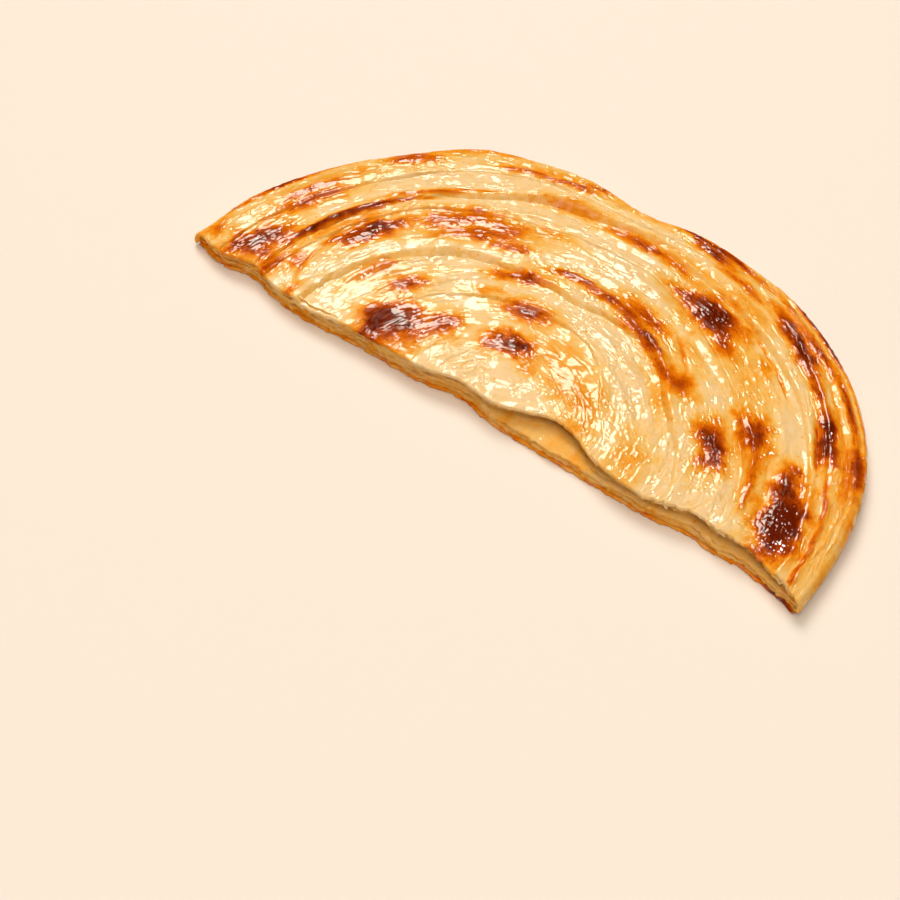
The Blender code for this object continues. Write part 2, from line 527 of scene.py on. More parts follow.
def dough_material(name):
    """Griddled dough: cream where it is pale, then straw, gold, amber and char, under a film of oil."""
    material = bpy.data.materials.new(name)
    material.use_nodes = True
    tree = material.node_tree
    surface = tree.nodes["Principled BSDF"]
    where = Wire.make(tree, "ShaderNodeTexCoord", output="Object")
    rope = Wire.make(tree, "ShaderNodeAttribute", {"attribute_name": "rope"}, output="Vector")
    brown = Wire.make(tree, "ShaderNodeAttribute", {"attribute_name": "browning"}, output="Fac")
    crease = Wire.make(tree, "ShaderNodeAttribute", {"attribute_name": "crease"}, output="Fac")
    streak = noise(tree, rope.vector("MULTIPLY", rope, STREAK_SCALE), 1.0, 4.0, 0.5) - 0.5
    fibre = noise(tree, rope.vector("MULTIPLY", rope, FIBRE_SCALE), 1.0, 2.0, 0.6) - 0.5
    patch = noise(tree, where, PATCH_SCALE, 2.0)
    mottle = noise(tree, where, MOTTLE_SCALE, 4.0, 0.6) - 0.5
    freckle = noise(tree, where, FRECKLE_SCALE, 1.0).part(*FRECKLE_EDGE)
    fleck = noise(tree, where, FLECK_SCALE, 3.0, 0.3) - 0.5
    charring = brown.part(PALE_BELOW, CHARRED_FROM)
    edge = charring * (EDGE_BREADTH - charring)
    tone = brown * (BETWEEN_PATCHES + patch * IN_PATCHES) + streak * (edge * STREAKS_AT_EDGE + STREAKS)
    # Painted shade in the creases and crevices.
    tone = tone + mottle * (edge * MOTTLE_AT_EDGE + MOTTLE) + crease * CREASE_SHADE_TONE
    tone = tone + (fleck * FLECKS_IN_SPOT + fibre * FIBRES_IN_SPOT) * charring + freckle * FRECKLES
    colour = tone.node("ShaderNodeValToRGB", {"stops": (
        (0.0, CREAM), (0.1, STRAW), (0.22, GOLD), (0.36, HONEY), (0.54, AMBER), (0.74, CHESTNUT), (1.0, CHAR),
    )}, {"Fac": tone})
    tree.links.new(colour.socket, surface.inputs["Base Color"])
    relief = noise(tree, where, RELIEF_SCALE, 3.0, 0.8) * LUMP_RELIEF + fibre * FIBRE_RELIEF
    bumped = relief.node("ShaderNodeBump", None, {
        "Height": relief, "Strength": 1.0, "Distance": RELIEF_HEIGHT,
    })
    tree.links.new(bumped.socket, surface.inputs["Normal"])
    rough = DOUGH_ROUGHNESS - charring * CHARRED_SMOOTHER
    tree.links.new(rough.socket, surface.inputs["Roughness"])
    pooled = Wire.make(tree, "ShaderNodeAttribute", {"attribute_name": "oil"}, output="Fac")
    wet = (noise(tree, where, OIL_SCALE, 4.0, 1.4) + pooled * OIL_POOLED).part(*OIL_EDGE)
    oiled = wet * (1 - OIL_THINNEST) + OIL_THINNEST
    tree.links.new(oiled.socket, surface.inputs["Coat Weight"])
    surface.inputs["Specular IOR Level"].default_value = 0.0
    surface.inputs["Coat Roughness"].default_value = OIL_ROUGHNESS
    surface.inputs["Coat IOR"].default_value = OIL_IOR
    surface.inputs["Subsurface Weight"].default_value = GLOW_SHARE
    surface.inputs["Subsurface Radius"].default_value = GLOW_COLOURS
    surface.inputs["Subsurface Scale"].default_value = GLOW_REACH
    return material


# Folds that run along the rope: the angles where each starts and ends, its radius at its start,
# middle and end, its height, its half-width towards the heart and towards the rim, and how brown
# its crest is. A fold of less than no height is a groove, and its brown is painted shade in it.
FOLDS = (
    (2, 62, (94.0, 98.6, 99.0), 0.35, 0.5, 0.6, 0.16),
    (50, 0, (96.2, 95.8, 91.5), 0.3, 0.5, 0.6, 0.1),
    (20, 75, (100.2, 101.0, 99.6), 0.3, 0.5, 0.6, 0.3),
    (168, 126, (79.6, 80.6, 84.2), 0.75, 0.8, 1.5, 0.0),
    (145, 179, (75.8, 73.4, 66.0), -0.5, 0.6, 0.6, 0.3),
    (168, 180, (80.0, 79.8, 79.3), -0.5, 0.5, 0.5, 0.25),
    (168, 134, (64.0, 64.3, 66.0), 0.45, 1.3, 1.8, 0.0),
    (170, 134, (58.6, 58.0, 56.6), 0.5, 1.2, 1.6, 0.0),
    (160, 130, (54.0, 53.0, 51.5), -0.35, 1.2, 1.2, 0.1),
    (95, 62, (84.6, 84.8, 83.4), -0.6, 1.0, 1.3, 0.16),
    (62, 40, (83.4, 81.8, 82.0), -0.55, 0.5, 0.6, 0.35),
    (67, 49, (61.5, 58.4, 55.6), -0.6, 0.6, 0.7, 0.35),
    (38, 24, (88.6, 88.0, 87.0), -1.0, 1.2, 1.0, 0.5),
    (28, 0, (89.4, 91.2, 91.0), 0.5, 0.7, 1.0, 0.42),
    (38, 5, (69.0, 70.6, 70.2), 0.75, 0.8, 1.3, 0.5),
    (36, 8, (66.6, 67.8, 67.4), -0.35, 0.7, 0.7, 0.1),
    (107, 44, (56.2, 53.2, 50.2), 0.6, 0.9, 1.8, 0.35),
    (65, 28, (93.0, 91.6, 90.4), 0.6, 1.1, 1.6, 0.2),
    (123, 102, (96.0, 94.6, 93.0), 0.45, 1.1, 1.3, 0.45),
    (142, 99, (77.4, 77.2, 74.6), 0.5, 1.1, 2.0, 0.0),
    (92, 18, (44.0, 41.6, 44.0), 0.4, 1.0, 1.4, 0.0),
    (88, 24, (38.4, 36.2, 37.0), 0.35, 1.0, 1.4, 0.0),
    (60, 6, (48.0, 48.4, 46.5), 0.35, 1.0, 1.5, 0.0),
    (150, 118, (47.5, 47.6, 49.5), 0.45, 1.2, 1.6, 0.0),
    (122, 104, (50.6, 50.8, 49.8), 0.35, 0.9, 1.3, 0.2),
    (174, 150, (95.6, 95.8, 95.2), 0.35, 1.2, 1.4, 0.15),
    (150, 118, (93.4, 92.4, 90.4), 0.45, 1.3, 1.8, 0.0),
    (108, 68, (88.2, 88.6, 87.8), 0.45, 1.3, 1.6, 0.0),
    (104, 80, (92.6, 91.8, 91.6), -0.3, 1.0, 1.0, 0.1),
    (66, 45, (97.6, 97.4, 96.6), 0.35, 0.6, 0.8, 0.3),
    (64, 46, (95.2, 95.0, 94.4), -0.35, 0.5, 0.6, 0.3),
    (47, 20, (97.2, 97.6, 97.0), 0.4, 0.8, 0.9, 0.45),
    (48, 26, (95.0, 94.6, 94.4), -0.4, 0.7, 0.8, 0.25),
    (100, 66, (78.2, 77.0, 79.0), 0.35, 1.2, 1.5, 0.0),
    (56, 16, (78.0, 78.4, 78.0), 0.35, 1.2, 1.6, 0.0),
    (28, 2, (74.6, 75.2, 74.6), -0.35, 0.8, 0.8, 0.0),
    (36, 4, (84.4, 85.6, 86.6), 0.3, 1.0, 1.4, 0.0),
    (24, 2, (62.0, 63.6, 63.4), 0.4, 1.1, 1.6, 0.0),
    (30, 2, (57.4, 58.0, 57.4), -0.35, 0.8, 0.9, 0.0),
    (100, 40, (68.0, 66.4, 65.6), 0.3, 1.2, 1.6, 0.0),
    (176, 156, (70.0, 69.8, 69.4), 0.35, 1.2, 1.4, 0.0),
)

# Low swells that tilt the skin: angle, radius, half-width and height.
SWELLS = (
    (158, 62, 9, 0.5), (140, 80, 8, 0.45), (84, 68, 10, 0.55), (100, 52, 7, 0.35), (136, 57, 8, 0.4),
    (60, 36, 9, 0.5), (110, 10, 9, 0.45), (4, 66, 9, 0.45), (18, 88, 6, 0.35), (140, 24, 9, 0.4),
    (30, 52, 8, 0.4), (45, 86, 7, 0.35), (20, 36, 8, 0.35), (70, 88, 8, 0.3), (118, 86, 8, 0.4),
)

# Browned spots, and two of painted shade: angle, radius, half length along the rope in degrees, half width,
# darkness, blister.
SPOTS = (
    # the heart
    (170, 39.5, 12, 5.6, 1.05, 0.5), (160, 37.5, 8, 4.5, 0.8, 0.4), (150, 31.5, 12, 4.2, 0.72, 0.45),
    (168, 31, 12, 3.6, 0.55, 0.3), (110, 24.2, 14, 4.0, 1.1, 0.5), (108, 37.2, 10, 3.2, 0.78, 0.3),
    (126, 42.8, 6, 1.8, 0.42, 0), (74, 27, 26, 6, 0.28, 0.2), (45, 24, 26, 6, 0.34, 0.3),
    (20, 23, 24, 5, 0.28, 0.2), (10, 40, 12, 5, 0.26, 0.1), (88, 17.5, 10, 3, 0.34, 0.1),
    # the second and third turns
    (153, 49, 6.5, 3.2, 0.78, 0.3), (159, 57.2, 7, 2.2, 0.5, 0.1), (114, 50.8, 8.5, 2.2, 0.72, 0.3),
    (99, 55.4, 8, 1.8, 0.75, 0.2), (83, 54.5, 10, 1.8, 0.75, 0.2), (76, 57.6, 8, 2.8, 0.72, 0.3),
    (69, 52.4, 9, 2.0, 0.85, 0.2), (56, 50.0, 8, 1.4, 0.6, 0.1), (49, 53, 6, 3.4, 0.72, 0.3),
    (127, 65.4, 11, 2.6, 0.68, 0.5), (118, 61.8, 5, 2.0, 0.66, 0.3), (62, 59, 10, 4, 0.2, 0),
    (26, 60, 7.5, 3.8, 0.98, 0.5), (46, 47, 8, 2.6, 0.25, 0),
    # the fourth turn
    (171, 73.5, 3, 2.6, 0.55, 0.1), (176.5, 76, 3.5, 2.2, 0.75, 0.2), (179, 66, 3, 1.6, 0.5, 0),
    (151.5, 71.6, 8.5, 3.0, 1.0, 0.5), (157, 70.5, 5, 3.0, 0.6, 0.2), (130, 71.4, 10, 4.2, 0.66, 0.6),
    (120, 69.5, 6, 3.4, 0.56, 0.4), (112, 70.5, 6, 3.0, 0.34, 0), (67, 75.2, 7.5, 5.6, 1.05, 0.6),
    (74, 72.4, 6, 2.6, 0.7, 0.3), (60, 71.5, 4.5, 3.2, 0.7, 0.2), (31, 70.8, 7, 3.6, 0.8, 0.3),
    (19, 70.8, 7, 1.4, 0.5, 0), (48, 73, 11, 6, 0.2, 0.1), (51, 79.3, 3, 2.0, 0.42, 0),
    (11.5, 81.6, 9, 5.2, 1.15, 0.5), (4.5, 81.5, 4.5, 4.6, 0.75, 0.3), (20, 80.5, 5, 3.0, 0.8, 0.3),
    # the fifth turn
    (163, 80.0, 5.5, 1.0, 1.0, 0.1), (155, 80.4, 7, 1.0, 1.0, 0.1), (147, 81.2, 8, 0.75, 0.85, 0.1),
    # The spot at 154 degrees and 77.4 mm is painted shade, on the shaded inner face under the crest.
    (137, 83.2, 8, 0.6, 0.62, 0), (128, 84.2, 6, 0.6, 0.5, 0), (154, 77.4, 13, 2.0, 0.36, 0),
    (173, 84.5, 6.5, 5.2, 0.88, 0.3), (177, 88.5, 3.2, 3.0, 0.82, 0.1), (160, 90.2, 8, 2.6, 0.5, 0.2),
    (91, 81.0, 8, 2.0, 0.72, 0.2), (83, 80.2, 6, 1.6, 0.55, 0.1), (66, 86.5, 6, 2, 0.25, 0),
    # the outer turn
    (156, 94.2, 6, 1.5, 0.68, 0.1), (157, 91.0, 6, 1.3, 0.66, 0.1), (177, 96.4, 2.2, 2.0, 0.55, 0),
    (177, 98.6, 4, 2.0, 0.35, 0), (161, 101.0, 5.5, 0.9, 0.9, 0), (152.5, 101.8, 4, 0.8, 0.7, 0),
    (168, 100.2, 5, 0.8, 0.5, 0), (137, 99.8, 4.5, 2.4, 0.68, 0.4), (139.5, 103, 2.6, 1.2, 0.9, 0),
    (126, 105.8, 6.5, 0.8, 1.0, 0), (127, 103.4, 9, 2.0, 0.34, 0), (118, 96, 4, 1.3, 0.62, 0.2),
    (108.5, 95.2, 4, 1.1, 0.7, 0.1), (114, 97.5, 8, 2.6, 0.28, 0), (104.5, 97.2, 3, 1.2, 0.7, 0),
    (80, 93.2, 4.5, 2.2, 0.92, 0.2), (83, 96, 8, 1.3, 0.85, 0), (76, 96.8, 6, 1.1, 0.75, 0),
    (71.5, 90.8, 4.6, 1.6, 0.55, 0.1), (60, 93.4, 4.5, 2.2, 0.82, 0.2), (54, 92.0, 6, 2.4, 1.0, 0.3),
    (57, 101.6, 9, 1.1, 1.15, 0), (53, 97, 6, 1.5, 0.7, 0.1), (63, 97.6, 4, 1.2, 0.5, 0),
    (45, 91.2, 6, 1.4, 0.62, 0), (33, 91.2, 6, 2.4, 1.0, 0.3), (30, 88.6, 4, 1.6, 0.6, 0),
    (40, 98.6, 8, 1.0, 0.72, 0), (27, 98.4, 5, 1.8, 0.85, 0.1), (26, 95.5, 6, 2.2, 0.5, 0),
    # The spot at 108 degrees and 84.6 mm is painted shade, on the shaded face under the fifth turn's lip.
    (108, 84.6, 6, 2.6, 0.34, 0), (90, 95, 14, 2.2, 0.26, 0), (150, 96.5, 12, 2.6, 0.24, 0),
    (12, 92.5, 12, 2.0, 0.16, 0), (18, 98.6, 6, 1.3, 0.3, 0), (6, 97.4, 4, 1.4, 0.2, 0),
)

# Pools of oil: angle, radius, half length along the rope in degrees, half width.
POOLS = (
    (87, 69, 14, 8), (160, 58, 12, 16), (100, 58, 22, 4), (75, 46, 25, 7), (40, 25, 30, 10), (150, 34, 9, 7),
    (20, 58, 14, 8), (150, 95, 22, 5), (128, 71, 9, 4), (8, 79, 6, 5), (45, 92, 20, 4), (171, 86, 6, 8),
)

# How far the folds and spots stray from those places, how soft a spot's edge is, and how high the
# small bubbles and puckers stand where the skin is pale and how much higher where it is charred.
FOLD_FADE = 0.22
FOLD_WANDER = 2.2
FOLD_UNEVEN = 1.6
# FOLD_GILT gilds round each fold's brown, so round the painted shade in the grooves too.
FOLD_GILT = 0.35
SPOT_WANDER = 2.0
SPOT_WANDER_REACH = 6
SPOT_RAGGED = 2.2
SPOT_FALL = 0.6
SPOT_FLATNESS = 1.2
BLISTER_FALL = 1.1
BLEND_POWER = 4
RIM_GOLD = 0.07
RIM_GOLD_REACH = 7.0
# Gold painted onto the lips' faces as their shade.
FACE_SHADE_GOLD = 0.1
BUBBLE_HEIGHT = 0.05
BUBBLE_CHARRED = 0.08
PUCKER_HEIGHT = 0.06
PUCKER_CHARRED = 0.03


def read(mesh, name, width=1):
    """A mesh's attribute as numbers, one to each vertex, or as rows of that width."""
    values = np.empty(len(mesh.vertices) * width, np.float32)
    key = "value" if width == 1 else "vector"
    mesh.attributes[name].data.foreach_get(key, values)
    return values.astype(float) if width == 1 else values.astype(float).reshape(-1, width)


def write(mesh, name, values):
    """Numbers as a mesh's attribute, one to each vertex."""
    attribute = mesh.attributes.get(name) or mesh.attributes.new(name, "FLOAT", "POINT")
    attribute.data.foreach_set("value", values.astype(np.float32))


def fold_line(angle, fold):
    """Where a fold runs, as a radius for each angle, and how much of it is there.

    Its line is the parabola through its three radii. It fades in, and out too unless it ends at the cut.
    """
    start, end, (near, middle, far) = fold[:3]
    share = (angle - start) / (end - start)
    line = near * (1 - share) * (1 - 2 * share) + far * share * (2 * share - 1)
    line = line + middle * 4 * share * (1 - share)
    shown = share if end in (0, 180) else np.minimum(share, 1 - share)
    there = np.clip(shown / FOLD_FADE, 0, 1)
    return line, np.where((share > 0) & (share < 1), there * there * (3 - 2 * there), 0)


def brown_and_blister(mesh):
    """Folds along the rope, then the griddle's marks: each spot browns the skin and lifts a blister. The
    grooves, the lips' faces and two of the spots are darkened as painted shade.
    """
    angle, radius = read(mesh, "angle"), read(mesh, "radius")
    drift = read(mesh, "drift", 3) - 0.5
    face, rolled = read(mesh, "face"), read(mesh, "rolled")
    arc = radius * math.pi / 180
    lift = np.zeros(len(angle))
    fold_brown_and_shade = np.zeros(len(angle))
    for fold in FOLDS:
        height, inner, outer, crest_brown_groove_shade = fold[3:]
        line, there = fold_line(np.clip(angle, 0, 180), fold)
        away = radius - line + drift[:, 2] * FOLD_WANDER
        shape = np.exp(-(away / np.where(away < 0, inner, outer)) ** 2) * there
        lift += height * shape * (1 + FOLD_UNEVEN * drift[:, 0])
        # On a crest this is browning; in a groove it is painted shade.
        fold_brown_and_shade = np.maximum(fold_brown_and_shade, crest_brown_groove_shade * shape)
    across, deep = radius * cosine(angle), radius * sine(angle)
    for place, ring, half_width, height in SWELLS:
        away = (across - ring * cosine(place)) ** 2 + (deep - ring * sine(place)) ** 2
        lift += height * np.exp(-away / half_width**2)
    brown = np.zeros(len(angle))
    for place, ring, half_angle, half_width, darkness, blister in SPOTS:
        half_length = math.radians(half_angle) * ring
        along = (angle - place) * arc + drift[:, 0] * min(half_length, SPOT_WANDER_REACH) * SPOT_WANDER
        across = radius - ring + drift[:, 1] * half_width * SPOT_RAGGED
        away = (along / half_length) ** 2 + (across / half_width) ** 2
        brown += (darkness * np.exp(-away ** SPOT_FLATNESS * SPOT_FALL)) ** BLEND_POWER
        lift += blister * np.exp(-away * BLISTER_FALL)
    brown = brown ** (1 / BLEND_POWER)
    oil = np.zeros(len(angle))
    for place, ring, half_angle, half_width in POOLS:
        away = ((angle - place) / half_angle) ** 2 + ((radius - ring) / half_width) ** 2
        oil = np.maximum(oil, np.exp(-away ** 2))
    write(mesh, "oil", oil)
    from_rim = rim_radius(angle) - radius
    # The gold towards the rim is browning; the gold on the lips' faces is painted shade.
    gold = RIM_GOLD * np.exp(-from_rim / RIM_GOLD_REACH) + FACE_SHADE_GOLD * np.clip(face, 0, 1)
    brown = np.maximum(brown, fold_brown_and_shade) + gold * (1 - brown) + FOLD_GILT * fold_brown_and_shade * (1 - brown)
    write(mesh, "browning", brown)
    charred = np.clip((brown - PALE_BELOW) / (CHARRED_FROM - PALE_BELOW), 0, 1)
    lift += read(mesh, "bubble") * (BUBBLE_HEIGHT + BUBBLE_CHARRED * charred)
    lift += read(mesh, "pucker") * (PUCKER_HEIGHT + PUCKER_CHARRED * charred)
    points = np.empty(len(mesh.vertices) * 3)
    mesh.vertices.foreach_get("co", points)
    points = points.reshape(-1, 3)
    points[:, 2] += lift * MM * (1 - rolled)
    mesh.vertices.foreach_set("co", points.ravel())


def set_piece(mesh, name):
    """A finished piece, shaded smooth, riding on the bread's one body."""
    mesh.name = name
    mesh.shade_smooth()
    piece = bpy.data.objects.new(name, mesh)
    bpy.context.scene.collection.objects.link(piece)
    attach(piece, "root")
    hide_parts("paratha_half")
    return piece


SKIN_CELL = 0.28
LIP_AND_TAIL = 3
TURNED_IN_CELLS = 8
griddled = dough_material("griddled_skin")
skin_form = skin_tree(griddled)
turn_names = ["heart"] + list(TURNS)
edges = [np.zeros(len(all_round))] + [lip_radius(turn, all_round) for turn in TURNS.values()] + [RIM_RADIUS]
for index, name in enumerate(turn_names):
    columns = round(math.pi * float(np.mean(edges[index + 1])) / SKIN_CELL)
    rows = round((float(np.max(edges[index + 1] - edges[index])) + LIP_AND_TAIL) / SKIN_CELL)
    skin = grown_mesh(name, skin_form, {
        "Columns": columns,
        "Rows": rows,
        "Turn": index,
        "Lip share": 0.12,
        "Tail": 1.6,
        "Cut edge share": TURNED_IN_CELLS / columns,
        "Sheet thickness": 1.5,
        "Lump height": 0.6,
        "Crease depth": 0.22,
        "Pleat height": 0.5,
        "Ripple height": 0.12,
        "Wrinkle depth": 0.22,
    })
    brown_and_blister(skin)
    set_piece(skin, name)

# ---- The layered crumb -----------------------------------------------------------------------
# Under the skin lie thin sheets of dough, which show where the bread is cut and low on its rim.
# Each sheet has its own ragged edge, with a crevice between it and the next. In the pocket the
# upper sheets have pulled away with the skin.

# It stands back from the bread's outline at the cut and at the rim, and lies that far under the skin.
CRUMB_CELL = 0.4
CRUMB_LEVELS = 64
CORNER_ROUNDING = 4
CUT_BACK = 0.7
RIM_BACK = 1.4
UNDER_SKIN = 0.9
CRUMB_BASE = 0.6
CRUMB_CORE = 4.0
CORE_STEP = 3
CENTRE_Y = 55.0

# The sheets and the crevices between them, and where the pocket, the ragged right side and the
# recess under the skin open in them.
SHEETS = 4
SHEET_END = 0.001
SHEET_WAVE = 60
SHEET_WANDER = 0.3
SHEET_ROUNDING = 0.2
CREVICE_SHARE = 0.14
CREVICE_DEPTH = 0.35
CREVICE_AT_CUT = 0.75
CREVICE_WAVE = 30
CREVICE_OPEN = 0.45
CREVICE_OPEN_MORE = 0.8
CREVICE_SHADE = 1.2
POCKET_IN_CRUMB = (POCKET[0], POCKET[1] + 1.5, POCKET[2] + 1)
POCKET_LEVEL = 0.42
POCKET_SLOPE = 0.16
RAGGED_SIDE_FROM = 34
RAGGED_SIDE_RUN = 8
RECESS_LEVEL = 0.5
RECESS_SLOPE = 0.05
RECESS_WAVE = 9
RECESS_DEPTH = 0.6
RECESS_UNEVEN = 0.5
RIM_LEAN = 0.5

# How ragged a sheet's edge is, with waves that differ a little from sheet to sheet, and its crumbs.
FRONT_WAVE = 14
FRONT_WAVE_STEP = 3
FRONT_RAGGED = 0.25
FRONT_AT_CUT = 0.2
CRUMB_WAVE = 2.6
CRUMB_SIZE = 0.12

# How browned the crumb is: more towards the crust, in stains, in the pocket and at the left corner.
CRUMB_BROWN = 0.09
CRUMB_BROWN_BELOW = 0.12
STAIN_WAVE = 22
STAIN_ABOVE = 0.3
STAIN_BROWN = 0.14
POCKET_BROWN = 0.02
POCKET_BROWN_BY = 8
LEFT_CORNER_TINT = (-96, 0.22, 9)
SHEETWISE_SCALE = 1.6

# What starts each uneven line's chance. The sheets count on from theirs.
SHEET_SEED = 3
FRONT_SEED = 20
CRUMB_SEED = 40
CREVICE_SEED = 60
RECESS_SEED = 71
STAIN_SEED = 81


def ragged(place, length, seed):
    """A smooth uneven line, about -1 to 1, whose waves are of that length and shorter."""
    shorter, lower, together = 1.73, 0.72, 1.9
    phases = np.random.default_rng(seed).uniform(0, 2 * math.pi, 5)
    waves = [np.sin(place * (2 * math.pi / length) * shorter**order + phase) * lower**order
             for order, phase in enumerate(phases)]
    return sum(waves) / together


def outline(cell, cut_stand_back, rim_stand_back):
    """The bread's outline seen from above: points, and how much of a cut, 1, or a rim, 0, each is on."""
    at_corner = 0.55
    half_right, half_left = rim_radius(np.array([0.0, 180.0])) - rim_stand_back * at_corner
    along = np.linspace(-half_left, half_right, round((half_left + half_right) / cell))[1:-1]
    angles = np.linspace(0, 180, round(math.pi * RIM_RADIUS / cell))
    past_corner = np.clip(RIM_RADIUS * sine(angles) / 8, 0, 1)
    rims = rim_radius(angles) - rim_stand_back * (at_corner + (1 - at_corner) * past_corner)
    rim_y = rims * sine(angles)
    rim_y = rim_y + bumps_at(rims * cosine(angles), CUT_BUMPS) * np.clip(1 - rim_y / CUT_REACH, 0, 1) ** 2
    cut = np.stack([along, bumps_at(along, CUT_BUMPS) + cut_stand_back], 1)
    rim = np.stack([rims * cosine(angles), rim_y], 1)
    points = np.concatenate([cut, rim])
    share = np.concatenate([np.ones(len(cut)), np.zeros(len(rim))])
    for _ in range(CORNER_ROUNDING):
        points = (np.roll(points, 1, 0) + points * 2 + np.roll(points, -1, 0)) / 4
        share = (np.roll(share, 1) + share * 2 + np.roll(share, -1)) / 4
    return points, share


def inward(points):
    """The direction into the bread at each point of an outline that runs anticlockwise."""
    forward = np.roll(points, -1, 0) - np.roll(points, 1, 0)
    turned = np.stack([-forward[:, 1], forward[:, 0]], 1)
    return turned / np.linalg.norm(turned, axis=1)[:, None]


def spokes(points):
    """The direction to the bread's middle from each point."""
    towards = np.array([0.0, CENTRE_Y]) - points
    return towards / np.linalg.norm(towards, axis=1)[:, None]


def skin_height(points):
    """The body's height under the skin at points seen from above."""
    radius = np.hypot(points[:, 0], points[:, 1])
    angle = np.clip(np.degrees(np.arctan2(points[:, 1], points[:, 0])), 0, 180)
    return body_height(radius, angle)


def ring_mesh(name, rings, heights, values, material):
    """A closed mesh from rings of points, stacked from the first to the last, with a fan at each end."""
    count = len(rings[0])
    rows = [np.column_stack([ring + (POLE_X, POLE_Y), level]) for ring, level in zip(rings, heights)]
    rows.append(np.array([(POLE_X, POLE_Y + CENTRE_Y, np.mean(heights[end])) for end in (0, -1)]))
    here = np.arange(count)
    beside = np.roll(here, -1)
    last = (len(rings) - 1) * count
    faces = [(hub, low, high) for hub, low, high in zip([last + count] * count, beside, here)]
    for row in range(len(rings) - 1):
        low, high = row * count, (row + 1) * count
        faces += np.stack([here + low, beside + low, beside + high, here + high], 1).tolist()
    faces += [(last + count + 1, low, high) for low, high in zip(here + last, beside + last)]
    mesh = bpy.data.meshes.new(name)
    mesh.from_pydata(np.concatenate(rows) * MM, [], faces)
    for label, levels in values.items():
        hub_values = [[np.mean(levels[0]), np.mean(levels[-1])]]
        write(mesh, label, np.concatenate(levels + hub_values))
    mesh.materials.append(material)
    return mesh


def crumb_mesh(material):
    """The dough between the skin and the crust: sheets one on another, as the cut and the rim show them."""
    points, cut_share = outline(CRUMB_CELL, CUT_BACK, RIM_BACK)
    into = inward(points)
    run = np.cumsum(np.full(len(points), CRUMB_CELL))
    across = points[:, 0]
    top = skin_height(points) - UNDER_SKIN - SKIN_SINK
    in_pocket = bump_at(across, POCKET_IN_CRUMB) * cut_share
    ragged_side = np.clip((across - RAGGED_SIDE_FROM) / RAGGED_SIDE_RUN, 0, 1) * cut_share
    fronts, opens = [], []
    for k in range(SHEETS):
        front = ragged(run, FRONT_WAVE + FRONT_WAVE_STEP * k, FRONT_SEED + k)
        front = front * (FRONT_RAGGED + FRONT_AT_CUT * cut_share)
        fronts.append(front + ragged(run, CRUMB_WAVE, CRUMB_SEED + k) * CRUMB_SIZE)
        uneven = ragged(run, CREVICE_WAVE, CREVICE_SEED + k)
        opens.append(np.clip(CREVICE_OPEN + CREVICE_OPEN_MORE * uneven, 0, 1))
    torn = RECESS_DEPTH + RECESS_UNEVEN * ragged(run, RECESS_WAVE, RECESS_SEED)
    ledge = bump_at(across, LEDGE) * cut_share + ragged_side * torn
    stain = np.clip(ragged(run, STAIN_WAVE, STAIN_SEED) - STAIN_ABOVE, 0, 1) * STAIN_BROWN
    stain = stain + bump_at(across, LEFT_CORNER_TINT)
    stain = stain + POCKET_BROWN * np.clip(in_pocket / POCKET_BROWN_BY, 0, 1)
    swing = ragged(run, SHEET_WAVE, SHEET_SEED) * SHEET_WANDER
    rings, heights, shade, browns = [], [], [], []
    for level in np.linspace(0, 1, CRUMB_LEVELS):
        sheet = level * SHEETS + swing * math.sin(level * math.pi)
        sheet = np.clip(sheet, 0, SHEETS - SHEET_END)
        index = np.floor(sheet).astype(int)
        share = sheet - index
        front = np.choose(index, fronts)
        gap = np.exp(-(share / CREVICE_SHARE) ** 2) * np.choose(index, opens)
        crevice = gap * (CREVICE_DEPTH + CREVICE_AT_CUT * cut_share)
        rounding = np.abs(2 * share - 1) ** 4 * SHEET_ROUNDING
        pocket = in_pocket * np.clip((level - POCKET_LEVEL) / POCKET_SLOPE, 0, 1)
        recess = ledge * np.clip((level - RECESS_LEVEL) / RECESS_SLOPE, 0, 1)
        lean = (1 - level) * RIM_LEAN * (1 - cut_share)
        rings.append(points + into * (front + crevice + rounding + pocket + recess + lean)[:, None])
        heights.append(CRUMB_BASE + (top - CRUMB_BASE) * level)
        shade.append(crevice * CREVICE_SHADE)
        browns.append(CRUMB_BROWN + CRUMB_BROWN_BELOW * (1 - level) ** 2 + stain)
    rings.append(rings[-1] + spokes(rings[-1]) * CORE_STEP)
    heights.append(np.full(len(points), CRUMB_CORE))
    shade.append(shade[-1])
    browns.append(browns[-1])
    mesh = ring_mesh("layered_crumb", rings, heights, {"browning": browns, "crease": shade}, material)
    sheetwise = np.column_stack([np.tile(run, len(rings)), np.concatenate(heights) * SHEETWISE_SCALE])
    write_vectors(mesh, "rope", sheetwise)
    return mesh


def write_vectors(mesh, name, values):
    """Two values a point, as a vector attribute. What is left over at the hubs stays nought."""
    padded = np.zeros((len(mesh.vertices), 3), np.float32)
    padded[:len(values), :2] = values
    attribute = mesh.attributes.new(name, "FLOAT_VECTOR", "POINT")
    attribute.data.foreach_set("vector", padded.ravel())


crumb_dough = dough_material("crumb_dough")
crumb = crumb_mesh(crumb_dough)
set_piece(crumb, "layered_crumb")

# ---- The underside crust ---------------------------------------------------------------------
# The side that lay on the griddle first: a thin crisp sheet, flat, browned in spots and crumbly
# where the knife went through it.

CRUST_ROWS = 46
CRUST_CELL = 0.7
CRUST_CUT_BACK = 0.1
CRUST_RIM_BACK = 2.2
CRUST_DOME = 0.12
CRUST_SWELL = 0.1
CRUST_SWELL_RUN = (7.0, 6.0)
EDGE_LIFT = 0.25
EDGE_BROWN = 0.25
ROWS_TO_EDGE = 1.15
MOST_SLANTED = 0.35

